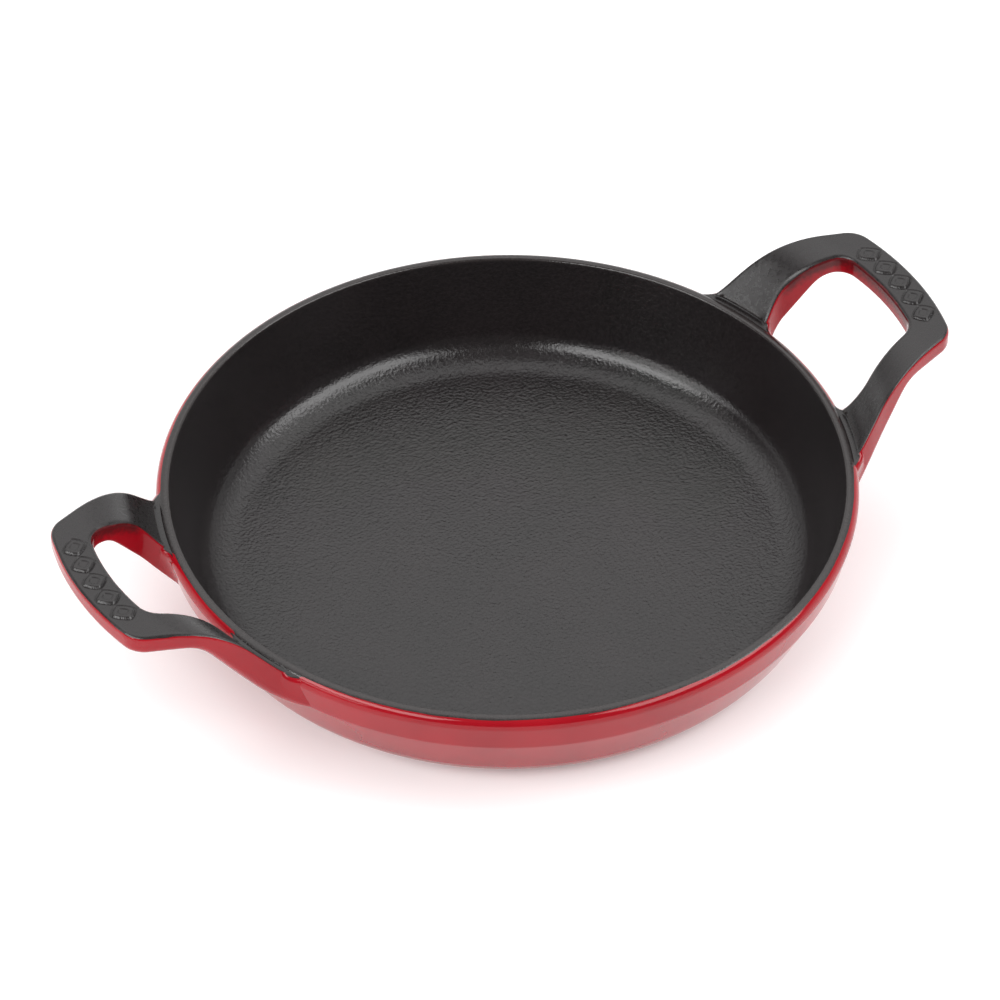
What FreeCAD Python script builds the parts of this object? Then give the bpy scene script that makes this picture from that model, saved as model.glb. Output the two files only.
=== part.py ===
import FreeCAD, Part
import math
import os
from FreeCAD import Vector

# Round, low baking dish with two loop handles, in enamelled cast iron.
# One sand casting (base, flared side wall, two handles) carries three fused
# coats of enamel: black inside, on the rim and on top of the handles, red
# outside, and a plain coat under the base.  Millimetres, +Z up, the base
# stands on z = 0 and the middle of the base is the origin.

os.makedirs("parts", exist_ok=True)

# ---- driving dimensions: dish ----
DISH_HEIGHT = 34.0            # base to rim
BASE_RADIUS = 78.0            # flat part of the base
BASE_BEND = 16.0              # outer radius of the bend from base to wall
FLOOR_THICKNESS = 4.0         # iron and both coats
WAIST_RADIUS = 98.9           # faint ridge round the outer wall
WAIST_HEIGHT = 22.3
LIP_OUTER_ROUND = 3.0         # rounding on the outside of the rim
LIP_CENTRE_RADIUS = 97.9
LIP_INNER_ROUND = 0.9         # rounding on the inside of the rim
BLACK_EDGE_ANGLE = 58.0       # where black meets red, up from the horizontal

# ---- driving dimensions: handles ----
HANDLE_REACH = 136.4          # from the axis to the outside of the grip
GRIP_BOW = 90.0               # radius of the bowed outside of the grip
GRIP_WIDTH = 10.6
HAND_CORNER = 8.0             # rounded outer corners of the loop
HOLE_CORNER = 6.5             # rounded outer corners of the finger hole
ARM_HALF_SPREAD = 34.9        # half width over both arms, measured at ARM_GAUGE
ARM_GAUGE = 109.0             # distance from the axis where the arms are gauged
ARM_TAPER = 19.5              # the outer sides close in by this angle
HOLE_HALF_SPREAD = 23.2       # half width of the hole at ARM_GAUGE
HOLE_TAPER = 16.0
ROOT_FLARE = 55.0             # radius of the flare from arm into wall
ROOT_FLARE_START = 106.0
ROOT_FLARE_END_LEAN = 47.0
HOLE_ROOT_ROUND = 5.5         # where the finger hole meets the wall
LEDGE_HEIGHT = 33.2           # flat step beside the rim
LEDGE_RADIUS = 101.3
VALLEY_ROUND = 1.5
RISE_ANGLE = 61.0
SHOULDER_ROUND = 22.3
SHOULDER_RADIUS = 126.05      # where the grip becomes nearly level
SHOULDER_HEIGHT = 53.27
GRIP_SLOPE = 1.0
GRIP_THICKNESS = 6.6
ARM_THICKNESS = 7.7           # square to the rising stretch
UNDER_ROUND = 7.0             # underside of the shoulder
ARM_FOOT_RADIUS = 102.4
ARM_FOOT_HEIGHT = 20.5        # where the underside runs into the wall
ARM_FOOT_ANGLE = 32.0

# ---- driving dimensions: coats ----
ENAMEL = 0.4

# ---- how far construction shapes reach past the object ----
OVERLAP = 20.0
FAR_RADIUS = 150.0
TOP_OF_ALL = 80.0

WIDEST_RADIUS = LIP_CENTRE_RADIUS + LIP_OUTER_ROUND


def unit(angle):
    """Direction in a section, in degrees up from the outward radius."""
    return math.cos(math.radians(angle)), math.sin(math.radians(angle))


def section_point(radius, height):
    """Point in the XZ plane that sections are drawn in."""
    return Vector(radius, 0, height)


def arc_about(centre, radius, start, end):
    """Arc in a section about centre, from start to end degrees."""
    def on_arc(angle):
        across, up = unit(angle)
        return section_point(centre[0] + radius * across, centre[1] + radius * up)
    return Part.Arc(on_arc(start), on_arc((start + end) / 2), on_arc(end)).toShape()


def lean_of_tangent(first, first_reach, second, second_reach):
    """Lean from upright, in degrees, of the line that touches two circles.

    A reach is positive where the line runs outside its circle, negative
    where it runs inside, and nought at a plain point.
    """
    across = second[0] - first[0]
    up = second[1] - first[1]
    turn = math.acos((first_reach - second_reach) / math.hypot(across, up))
    return math.degrees(turn - math.atan2(up, across))


def joined(edges):
    """One closed wire from edges in order, with straight edges in the gaps."""
    chain = []
    for edge in edges:
        start = edge.valueAt(edge.FirstParameter)
        if chain:
            last = chain[-1].valueAt(chain[-1].LastParameter)
            if last.distanceToPoint(start) > 1e-6:
                chain.append(Part.makeLine(last, start))
        chain.append(edge)
    last = chain[-1].valueAt(chain[-1].LastParameter)
    first = chain[0].valueAt(chain[0].FirstParameter)
    if last.distanceToPoint(first) > 1e-6:
        chain.append(Part.makeLine(last, first))
    return Part.Wire(chain)


def section_line(*points):
    """Straight edges through (radius, height) pairs."""
    ends = [section_point(*point) for point in points]
    return [Part.makeLine(start, end) for start, end in zip(ends, ends[1:])]


def section_box(inner, outer, low, high):
    """Rectangular region of a section."""
    corners = [(inner, low), (outer, low), (outer, high), (inner, high), (inner, low)]
    return Part.Face(Part.Wire(section_line(*corners)))


def beyond_axis():
    """Region that holds every section on the positive side of the axis."""
    return section_box(0, FAR_RADIUS, -OVERLAP, TOP_OF_ALL)


def drawn_in(shape, inset):
    """The one flat face of a shape, drawn in by inset all round."""
    face = shape.Faces[0]
    if inset:
        face = face.makeOffset2D(-inset).Faces[0]
    return face


def turned(section):
    """Solid of revolution about the upright axis."""
    faces = [face.revolve(Vector(0, 0, 0), Vector(0, 0, 1), 360) for face in section.Faces]
    solids = [solid for shape in faces for solid in shape.Solids]
    shape = solids[0] if len(solids) == 1 else Part.makeCompound(solids)
    return shape


# ---- sections of the dish ----
BEND_CENTRE = (BASE_RADIUS, BASE_BEND)
WAIST = (WAIST_RADIUS, WAIST_HEIGHT)
LIP_OUTER_CENTRE = (LIP_CENTRE_RADIUS, DISH_HEIGHT - LIP_OUTER_ROUND)
LIP_INNER_CENTRE = (LIP_CENTRE_RADIUS, DISH_HEIGHT - LIP_INNER_ROUND)
INNER_BEND = BASE_BEND - FLOOR_THICKNESS
LOWER_LEAN = lean_of_tangent(BEND_CENTRE, BASE_BEND, WAIST, 0)
UPPER_LEAN = lean_of_tangent(WAIST, 0, LIP_OUTER_CENTRE, LIP_OUTER_ROUND)
INNER_LEAN = lean_of_tangent(BEND_CENTRE, INNER_BEND, LIP_INNER_CENTRE, -LIP_INNER_ROUND)


def outer_edges():
    """Base, bend, both bands of the wall and the outside of the rim."""
    bend = arc_about(BEND_CENTRE, BASE_BEND, -90, -LOWER_LEAN)
    lip = arc_about(LIP_OUTER_CENTRE, LIP_OUTER_ROUND, -UPPER_LEAN, 90)
    waist = bend.valueAt(bend.LastParameter), section_point(*WAIST)
    return [bend, Part.makeLine(*waist), lip]


def dish_section():
    """Section of the enamelled dish, carried past the axis for offsetting."""
    lip = arc_about(LIP_INNER_CENTRE, LIP_INNER_ROUND, 90, 180 - INNER_LEAN)
    bend = arc_about(BEND_CENTRE, INNER_BEND, -INNER_LEAN, -90)
    past_axis = section_line((-OVERLAP, FLOOR_THICKNESS), (-OVERLAP, 0))
    return Part.Face(joined(outer_edges() + [lip, bend] + past_axis))


def filled_section(inset):
    """Section of the dish as if it were full to the rim, less an inset."""
    past_axis = section_line((-OVERLAP, DISH_HEIGHT), (-OVERLAP, 0))
    full = drawn_in(Part.Face(joined(outer_edges() + past_axis)), inset)
    return full.common(beyond_axis())


def black_region():
    """Region of a section that holds the black coat of the dish."""
    middle = BASE_BEND - FLOOR_THICKNESS / 2
    bend = arc_about(BEND_CENTRE, middle, -90, -(LOWER_LEAN + INNER_LEAN) / 2)
    across, up = unit(BLACK_EDGE_ANGLE)
    beyond = (LIP_OUTER_CENTRE[0] + OVERLAP * across, LIP_OUTER_CENTRE[1] + OVERLAP * up)
    split = section_line(LIP_OUTER_CENTRE, beyond, (0, TOP_OF_ALL), (0, FLOOR_THICKNESS / 2))
    return Part.Face(joined([bend] + split))


# ---- shape of a handle, drawn on the +X side ----
def plan_point(along, across):
    """Point in the plan of a handle."""
    return Vector(along, across, 0)


def plan_arc(start, middle, end):
    """Arc edge in plan through three (along, across) points."""
    return Part.Arc(plan_point(*start), plan_point(*middle), plan_point(*end)).toShape()


def other_arm(points):
    """The same (along, across) points on the other arm."""
    return [(along, -across) for along, across in points]


def loop_corner(reach, bow, corner, gauge_half, taper):
    """Start, middle and end of the arc that rounds a corner of a loop.

    The arc touches the bowed end, which passes through reach, and the side,
    which leans in by taper and is gauge_half from the middle at ARM_GAUGE.
    """
    lean_in, lean_up = unit(90 - taper)
    bow_centre = reach - bow
    to_side = gauge_half * lean_up + ARM_GAUGE * lean_in - corner
    sine = (to_side - bow_centre * lean_in) / (bow - corner)
    swing = math.degrees(math.asin(sine)) - taper
    across, up = unit(swing)
    centre = (bow_centre + (bow - corner) * across, (bow - corner) * up)
    angles = (swing, (swing + 90 - taper) / 2, 90 - taper)
    ends = [unit(angle) for angle in angles]
    return [(centre[0] + corner * x, centre[1] + corner * y) for x, y in ends]


def root_flare():
    """Start, middle and end of the arc that flares an arm into the wall."""
    lean_in, lean_up = unit(90 - ARM_TAPER)
    back = ARM_GAUGE - ROOT_FLARE_START
    half = ARM_HALF_SPREAD + back * math.tan(math.radians(ARM_TAPER))
    centre = (ROOT_FLARE_START + ROOT_FLARE * lean_in, half + ROOT_FLARE * lean_up)
    leans = (ARM_TAPER, (ARM_TAPER + ROOT_FLARE_END_LEAN) / 2, ROOT_FLARE_END_LEAN)
    ends = [unit(90 - lean) for lean in leans]
    return [(centre[0] - ROOT_FLARE * x, centre[1] - ROOT_FLARE * y) for x, y in ends]


def loop_outline(reach, corner, root):
    """Face bounded by a bowed end, two rounded corners and both sides."""
    far_corner = other_arm(corner)
    far_root = other_arm(root)
    edges = [
        plan_arc(*reversed(corner)),
        plan_arc(corner[0], (reach, 0), far_corner[0]),
        plan_arc(*far_corner),
    ]
    if len(root) == 3:
        edges = [plan_arc(*reversed(root))] + edges + [plan_arc(*far_root)]
    else:
        edges.append(Part.makeLine(plan_point(*far_corner[2]), plan_point(*far_root[0])))
        edges.append(Part.makeLine(plan_point(*far_root[0]), plan_point(*root[0])))
    return Part.Face(joined(edges))


def finger_hole():
    """Plan of the finger hole, open to the wall of the dish."""
    reach = HANDLE_REACH - GRIP_WIDTH
    corner = loop_corner(reach, GRIP_BOW - GRIP_WIDTH, HOLE_CORNER, HOLE_HALF_SPREAD, HOLE_TAPER)
    inner_half = HOLE_HALF_SPREAD + (ARM_GAUGE - BASE_RADIUS) * math.tan(math.radians(HOLE_TAPER))
    whole = loop_outline(reach, corner, [(BASE_RADIUS, inner_half)])
    wall = Part.Face(Part.Wire(Part.makeCircle(WIDEST_RADIUS)))
    beside_wall = drawn_in(whole.cut(wall), HOLE_ROOT_ROUND)
    beside_wall = drawn_in(beside_wall, -HOLE_ROOT_ROUND)
    return beside_wall


def handle_plan(inset):
    """Prism over the plan of a handle, drawn in by inset."""
    corner = loop_corner(HANDLE_REACH, GRIP_BOW, HAND_CORNER, ARM_HALF_SPREAD, ARM_TAPER)
    loop = drawn_in(loop_outline(HANDLE_REACH, corner, root_flare()), inset)
    hole = drawn_in(finger_hole(), -inset)
    between_roots = HOLE_HALF_SPREAD - HOLE_ROOT_ROUND / 2
    low_corner = plan_point(BASE_RADIUS, -between_roots)
    under_rim = Part.makePlane(ARM_GAUGE - BASE_RADIUS, 2 * between_roots, low_corner)
    return loop.cut(hole).cut(under_rim).extrude(Vector(0, 0, TOP_OF_ALL))


def handle_section():
    """Section of a handle, from under the rim to past the grip."""
    grip_across, grip_up = unit(GRIP_SLOPE)
    rise_across, rise_up = unit(RISE_ANGLE)
    shoulder = (SHOULDER_RADIUS + SHOULDER_ROUND * grip_up,
                SHOULDER_HEIGHT - SHOULDER_ROUND * grip_across)
    valley = (LEDGE_RADIUS, LEDGE_HEIGHT + VALLEY_ROUND)
    far_top = SHOULDER_HEIGHT + (FAR_RADIUS - SHOULDER_RADIUS) * grip_up / grip_across
    under_height = SHOULDER_HEIGHT - GRIP_THICKNESS - UNDER_ROUND
    between = UNDER_ROUND + ARM_THICKNESS - SHOULDER_ROUND
    across = (between + rise_across * (under_height - shoulder[1])) / rise_up
    under = (shoulder[0] + across, under_height)
    foot_slope = math.tan(math.radians(ARM_FOOT_ANGLE))
    foot_low = (BASE_RADIUS, ARM_FOOT_HEIGHT - (WAIST_RADIUS - BASE_RADIUS) * foot_slope)
    foot_high = (ARM_FOOT_RADIUS, ARM_FOOT_HEIGHT + (ARM_FOOT_RADIUS - WAIST_RADIUS) * foot_slope)
    edges = [
        arc_about(valley, VALLEY_ROUND, -90, RISE_ANGLE - 90),
        arc_about(shoulder, SHOULDER_ROUND, RISE_ANGLE + 90, GRIP_SLOPE + 90),
    ]
    edges += section_line((FAR_RADIUS, far_top), (FAR_RADIUS, far_top - GRIP_THICKNESS))
    edges.append(arc_about(under, UNDER_ROUND, GRIP_SLOPE + 90, RISE_ANGLE + 90))
    edges += section_line(foot_high, foot_low)
    edges += section_line((BASE_RADIUS, LEDGE_HEIGHT), (LEDGE_RADIUS, LEDGE_HEIGHT))
    return Part.Face(joined(edges))


def handle_solid(inset):
    """A handle drawn in by inset on every side, carried in under the rim."""
    section = drawn_in(handle_section(), inset)
    return turned(section).common(handle_plan(inset))


def top_skin():
    """Solid of revolution that holds the coat on top of a handle."""
    section = handle_section()
    coat = section.cut(drawn_in(section, ENAMEL))
    lowered = section.translated(Vector(0, 0, -GRIP_THICKNESS / 2))
    return turned(coat.common(section.cut(lowered)))


# ---- sub-parts ----
def dish_parts(handle_cores):
    """Iron and coats of the dish, by node name."""
    section = dish_section()
    iron = drawn_in(section, ENAMEL).common(beyond_axis())
    coat = section.cut(drawn_in(section, ENAMEL)).common(beyond_axis())
    over_base = section_box(0, BASE_RADIUS, -OVERLAP, TOP_OF_ALL)
    outside = coat.cut(black_region())
    jacket = turned(outside.cut(over_base))
    for core in handle_cores:
        jacket = jacket.cut(core)
    return {
        "cast_iron_base": turned(iron.common(over_base)),
        "cast_iron_side_wall": turned(iron.cut(over_base)),
        "black_enamel_lining": turned(coat.common(black_region())),
        "red_enamel_jacket": jacket,
        "underside_enamel": turned(outside.common(over_base)),
    }


def handle_parts():
    """Iron and coats of the handle on the +X side, by first part of name."""
    full = handle_solid(0).cut(turned(filled_section(0)))
    core = handle_solid(ENAMEL)
    coat = full.cut(core)
    skin = top_skin()
    return {
        "cast_iron_handle": core.cut(turned(filled_section(ENAMEL))),
        "black_enamel_handle_top": coat.common(skin),
        "red_enamel_handle": coat.cut(skin),
    }


def half_turned(shape):
    """The shape turned half a turn about the upright axis."""
    copy = shape.copy()
    copy.rotate(Vector(0, 0, 0), Vector(0, 0, 1), 180)
    return copy


def write_part(name, shape):
    """Write one node after checking that it is one sound solid."""
    solids = shape.Solids
    if len(solids) != 1 or not solids[0].isValid():
        raise ValueError(f"{name} is not one sound solid")
    solids[0].exportStep(f"parts/{name}.step")
    print(f"{name}: {solids[0].Volume / 1000:.2f} cm3")


def main():
    """Build every node and write its file."""
    core = handle_solid(ENAMEL)
    for name, shape in dish_parts([core, half_turned(core)]).items():
        write_part(name, shape)
    for name, shape in handle_parts().items():
        write_part(f"{name}_right", shape)
        write_part(f"{name}_left", half_turned(shape))


main()
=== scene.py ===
import logging
import math
from collections.abc import Callable
from dataclasses import dataclass, field
from enum import Enum

import bmesh
import bpy
import numpy as np
from mathutils import Matrix, Vector


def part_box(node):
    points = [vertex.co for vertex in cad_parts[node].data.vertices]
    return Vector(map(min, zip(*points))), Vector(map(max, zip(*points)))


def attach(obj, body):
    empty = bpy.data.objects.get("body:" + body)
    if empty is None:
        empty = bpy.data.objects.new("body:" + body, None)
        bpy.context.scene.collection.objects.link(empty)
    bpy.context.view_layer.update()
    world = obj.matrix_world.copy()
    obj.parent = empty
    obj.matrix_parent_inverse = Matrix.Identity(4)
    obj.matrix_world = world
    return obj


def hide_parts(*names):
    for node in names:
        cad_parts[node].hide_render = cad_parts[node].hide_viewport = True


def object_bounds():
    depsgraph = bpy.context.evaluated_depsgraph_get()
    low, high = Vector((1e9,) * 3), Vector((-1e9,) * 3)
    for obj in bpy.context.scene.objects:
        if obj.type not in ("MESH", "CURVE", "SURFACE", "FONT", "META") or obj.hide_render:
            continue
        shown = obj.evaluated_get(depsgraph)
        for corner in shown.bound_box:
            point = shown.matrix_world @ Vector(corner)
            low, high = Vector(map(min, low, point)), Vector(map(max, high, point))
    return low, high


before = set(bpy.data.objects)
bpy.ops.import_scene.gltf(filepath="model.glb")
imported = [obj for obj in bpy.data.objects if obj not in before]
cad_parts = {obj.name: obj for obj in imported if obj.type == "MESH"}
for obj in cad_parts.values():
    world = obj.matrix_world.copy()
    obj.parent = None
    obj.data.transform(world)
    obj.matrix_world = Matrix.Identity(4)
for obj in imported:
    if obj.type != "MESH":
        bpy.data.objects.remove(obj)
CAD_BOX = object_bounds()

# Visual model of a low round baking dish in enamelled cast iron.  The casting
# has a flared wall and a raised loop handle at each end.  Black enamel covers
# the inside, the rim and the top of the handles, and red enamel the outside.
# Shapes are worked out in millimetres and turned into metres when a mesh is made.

LOG = logging.getLogger("baking_dish")
METRES_PER_MM = 0.001
BODY = "root"
ENAMEL = 0.4                # thickness of every coat
HOLE_SHADE_ATTRIBUTE = "painted_hole_shade"     # point attribute: share of painted shade over the red on the sides of the finger holes
SHARP_ANGLE = 50.0          # edges that turn more than this stay crisp
TINY = 1e-9                 # stands in for nought in a division
WELD = 0.0005               # points nearer than this are one point
OUTLINE_POINTS = 4000       # points on an outline before it is cut into stations
HOLE_SHADE_POINTS = 300           # points on the finger hole that the painted shade is measured from
HOLE_SHADE_BATCH = 20000          # points measured at a time
WHITE = (1.0, 1.0, 1.0, 1.0)
Pair = tuple[float, float]
Colour = tuple[float, float, float]


class Side(Enum):
    """The end of the dish that a handle is on: its name and its turn."""

    RIGHT = ("right", 0.0)
    LEFT = ("left", math.pi)

    @property
    def label(self) -> str:
        """Word used in node and piece names."""
        return self.value[0]

    @property
    def turn(self) -> float:
        """Turn about the upright axis from the right-hand end, in radians."""
        return self.value[1]


class Slot(Enum):
    """The record's material slots."""

    IRON = "iron"
    BLACK = "black_enamel"
    RED = "red_enamel"
    UNDERSIDE = "underside_enamel"


# ---------------------------------------------------------------- small maths
def degrees_sin(angle: float) -> float:
    """Sine of an angle in degrees."""
    return math.sin(math.radians(angle))


def degrees_cos(angle: float) -> float:
    """Cosine of an angle in degrees."""
    return math.cos(math.radians(angle))


def smooth_step(value: np.ndarray) -> np.ndarray:
    """Ease from 0 to 1 as value goes from 0 to 1, level at both ends."""
    held = np.clip(value, 0.0, 1.0)
    return held * held * (3.0 - 2.0 * held)


def lean_of_tangent(first: Pair, first_reach: float,
                    second: Pair, second_reach: float) -> float:
    """Lean of the line that touches two circles of a section.

    Args:
        first: Centre of the lower circle, as (radius, height).
        first_reach: How far outside that centre the line passes.
        second: Centre of the upper circle.
        second_reach: How far outside the upper centre the line passes.

    Returns:
        The lean from upright, in degrees.
    """
    across = second[0] - first[0]
    up = second[1] - first[1]
    turn = math.acos((first_reach - second_reach) / math.hypot(across, up))
    return math.degrees(turn - math.atan2(up, across))


def arc(centre: Pair, radius: float, start: float, end: float,
        count: int) -> np.ndarray:
    """Points along an arc, angles in degrees up from the first axis.

    Args:
        centre: Centre of the arc.
        radius: Radius of the arc.
        start: Angle of the first point.
        end: Angle of the last point.
        count: Number of points.

    Returns:
        An array of count rows of two numbers.
    """
    angles = np.radians(np.linspace(start, end, count))
    across = centre[0] + radius * np.cos(angles)
    up = centre[1] + radius * np.sin(angles)
    return np.stack([across, up], axis=1)


def straight(start: np.ndarray, end: np.ndarray, count: int) -> np.ndarray:
    """Points strictly between two ends of a straight run."""
    share = np.linspace(0.0, 1.0, count + 2)[1:-1, None]
    return np.asarray(start) * (1.0 - share) + np.asarray(end) * share


def evened(path: np.ndarray, count: int) -> np.ndarray:
    """Place points at even distances along a path.

    Args:
        path: One row for each point of the path.
        count: Number of points wanted.

    Returns:
        The same path as an array of count rows.
    """
    steps = np.linalg.norm(np.diff(path, axis=0), axis=1)
    along = np.concatenate([[0.0], np.cumsum(steps)])
    wanted = np.linspace(0.0, along[-1], count)
    return np.stack([np.interp(wanted, along, path[:, i]) for i in range(path.shape[1])], axis=1)


@dataclass(frozen=True)
class Ripple:
    """A small wave that closes on itself, made of a few sine waves."""

    seed: int
    depth: float
    slowest: int = 3
    fastest: int = 40

    def at(self, angle: np.ndarray) -> np.ndarray:
        """Work out the wave.

        Args:
            angle: Angles in radians.

        Returns:
            Height of the wave at each angle, in the units of depth.
        """
        source = np.random.default_rng(self.seed)
        total = np.zeros_like(angle, dtype=float)
        weight = 0.0
        for turns in range(self.slowest, self.fastest + 1):
            size = source.uniform(0.3, 1.0) * self.slowest / turns
            total += size * np.sin(turns * angle + source.uniform(0.0, 2.0 * math.pi))
            weight += size * size / 2.0
        return self.depth * total / math.sqrt(weight)


# ------------------------------------------------------------- making meshes
def add_mesh(name: str, points: np.ndarray, faces: list[tuple[int, ...]],
             weld: float = 0.0) -> bpy.types.Object:
    """Make a smooth-shaded mesh object from points in millimetres.

    Args:
        name: Name of the object.
        points: One row of three numbers for each vertex.
        faces: Vertex numbers of each face.
        weld: Distance in millimetres under which vertices are joined.

    Returns:
        The new object, linked to the scene.
    """
    mesh = bpy.data.meshes.new(name)
    mesh.from_pydata((points * METRES_PER_MM).tolist(), [], faces)
    work = bmesh.new()
    work.from_mesh(mesh)
    if weld:
        bmesh.ops.remove_doubles(work, verts=work.verts, dist=weld * METRES_PER_MM)
        bmesh.ops.dissolve_degenerate(work, dist=weld * METRES_PER_MM / 10, edges=work.edges)
    bmesh.ops.recalc_face_normals(work, faces=work.faces)
    work.to_mesh(mesh)
    work.free()
    mesh.shade_smooth()
    mesh.set_sharp_from_angle(angle=math.radians(SHARP_ANGLE))
    piece = bpy.data.objects.new(name, mesh)
    bpy.context.scene.collection.objects.link(piece)
    return piece


def grid_faces(rows: int, columns: int, wrap_rows: bool,
               wrap_columns: bool) -> list[tuple[int, ...]]:
    """Faces of a grid of vertices stored row by row.

    Args:
        rows: Number of rows.
        columns: Number of vertices in each row.
        wrap_rows: Whether the last row joins the first.
        wrap_columns: Whether the last column joins the first.

    Returns:
        The faces, four vertices each.
    """
    faces = []
    for row in range(rows if wrap_rows else rows - 1):
        here = row * columns
        there = (row + 1) % rows * columns
        for column in range(columns if wrap_columns else columns - 1):
            after = (column + 1) % columns
            faces.append((here + column, here + after, there + after, there + column))
    return faces


def turned_points(radius: np.ndarray, height: np.ndarray) -> np.ndarray:
    """Spread rows of section points round the upright axis.

    Args:
        radius: Radius at each row and column, in millimetres.
        height: Height at each row and column.

    Returns:
        An array of shape (rows, columns, 3).
    """
    angle = np.linspace(0.0, 2.0 * math.pi, radius.shape[1], endpoint=False)
    return np.stack([radius * np.cos(angle), radius * np.sin(angle), height], axis=2)


def section_normals(radius: np.ndarray, height: np.ndarray) -> tuple[np.ndarray, np.ndarray]:
    """Find the unit normals of a section, to the right of its travel.

    Args:
        radius: Radius at each row and column.
        height: Height at each row and column.

    Returns:
        The radial and upright parts of the normals.
    """
    along_r = np.gradient(radius, axis=0)
    along_z = np.gradient(height, axis=0)
    size = np.maximum(np.hypot(along_r, along_z), TINY)
    return along_z / size, -along_r / size


def ride_and_slot(piece: bpy.types.Object, nodes: list[str],
                  finish: bpy.types.Material) -> bpy.types.Object:
    """Put a piece on the frame and dress it.

    Args:
        piece: The piece's object.
        nodes: Nodes of the frame that it stands for.
        finish: Its material.

    Returns:
        The same object.
    """
    piece.data.materials.append(finish)
    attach(piece, BODY)
    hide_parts(*nodes)
    return piece


# ------------------------------------------------------------------ finishes
class NodeSheet:
    """A material's node tree, with short calls to add and join nodes."""

    def __init__(self, name: str) -> None:
        """Start an empty material.

        Args:
            name: Name of the material.
        """
        self.material = bpy.data.materials.new(name)
        self.material.use_nodes = True
        self.tree = self.material.node_tree
        self.tree.nodes.clear()
        output = self.tree.nodes.new("ShaderNodeOutputMaterial")
        self.shader = self.tree.nodes.new("ShaderNodeBsdfPrincipled")
        self.join(self.shader.outputs["BSDF"], output.inputs["Surface"])
        self.place = self.tree.nodes.new("ShaderNodeTexCoord").outputs["Object"]

    def join(self, source: bpy.types.NodeSocket, target: bpy.types.NodeSocket) -> None:
        """Link one socket to another."""
        self.tree.links.new(source, target)

    def noise(self, scale: float, detail: float = 2.0, roughness: float = 0.5,
              distortion: float = 0.0) -> bpy.types.NodeSocket:
        """Add noise over the piece.

        Args:
            scale: Waves to the metre.
            detail: Number of finer layers.
            roughness: Strength of each finer layer.
            distortion: How far the noise bends itself.

        Returns:
            The noise value.
        """
        node = self.tree.nodes.new("ShaderNodeTexNoise")
        node.inputs["Scale"].default_value = scale
        node.inputs["Detail"].default_value = detail
        node.inputs["Roughness"].default_value = roughness
        node.inputs["Distortion"].default_value = distortion
        self.join(self.place, node.inputs["Vector"])
        return node.outputs["Fac"]

    def ramp(self, source: bpy.types.NodeSocket, low: float, high: float,
             from_value: float, to_value: float) -> bpy.types.NodeSocket:
        """Stretch a value from one range to another, held at the ends.

        Args:
            source: The value.
            low: Value that becomes from_value.
            high: Value that becomes to_value.
            from_value: Lower end of the new range.
            to_value: Upper end of the new range.

        Returns:
            The stretched value.
        """
        node = self.tree.nodes.new("ShaderNodeMapRange")
        node.inputs["From Min"].default_value = low
        node.inputs["From Max"].default_value = high
        node.inputs["To Min"].default_value = from_value
        node.inputs["To Max"].default_value = to_value
        self.join(source, node.inputs["Value"])
        return node.outputs["Result"]

    def math(self, operation: str, first: bpy.types.NodeSocket,
             second: bpy.types.NodeSocket) -> bpy.types.NodeSocket:
        """Do one step of arithmetic.

        Args:
            operation: Blender's name for the step.
            first: First value.
            second: Second value.

        Returns:
            The result.
        """
        node = self.tree.nodes.new("ShaderNodeMath")
        node.operation = operation
        self.join(first, node.inputs[0])
        self.join(second, node.inputs[1])
        return node.outputs["Value"]

    def blend(self, share: bpy.types.NodeSocket, first: Colour,
              second: Colour) -> bpy.types.NodeSocket:
        """Blend two fixed colours.

        Args:
            share: Share of the second colour.
            first: Colour at 0.
            second: Colour at 1.

        Returns:
            The blended colour.
        """
        node = self.tree.nodes.new("ShaderNodeMix")
        node.data_type = "RGBA"
        node.clamp_factor = False
        node.inputs["A"].default_value = (*first, 1.0)
        node.inputs["B"].default_value = (*second, 1.0)
        self.join(share, node.inputs["Factor"])
        return node.outputs["Result"]

    def over(self, base: bpy.types.NodeSocket, share: bpy.types.NodeSocket,
             colour: Colour) -> bpy.types.NodeSocket:
        """Lay a fixed colour over a varying one.

        Args:
            base: The varying colour.
            share: Share of the fixed colour, from 0 to 1.
            colour: The fixed colour.

        Returns:
            The resulting colour.
        """
        node = self.tree.nodes.new("ShaderNodeMix")
        node.data_type = "RGBA"
        node.inputs["B"].default_value = (*colour, 1.0)
        self.join(base, node.inputs["A"])
        self.join(share, node.inputs["Factor"])
        return node.outputs["Result"]

    def height(self) -> bpy.types.NodeSocket:
        """Find the height above the surface that the dish stands on.

        Returns:
            The height in metres.
        """
        split = self.tree.nodes.new("ShaderNodeSeparateXYZ")
        self.join(self.place, split.inputs["Vector"])
        return split.outputs["Z"]

    def relief(self, height: bpy.types.NodeSocket, depth: float,
               under: bpy.types.NodeSocket | None = None) -> bpy.types.NodeSocket:
        """Raise a fine relief.

        Args:
            height: Height value from 0 to 1.
            depth: Depth of the relief in millimetres.
            under: Normal of a relief below this one.

        Returns:
            The normal.
        """
        node = self.tree.nodes.new("ShaderNodeBump")
        node.inputs["Distance"].default_value = depth * METRES_PER_MM
        node.inputs["Strength"].default_value = 1.0
        self.join(height, node.inputs["Height"])
        if under is not None:
            self.join(under, node.inputs["Normal"])
        return node.outputs["Normal"]


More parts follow.
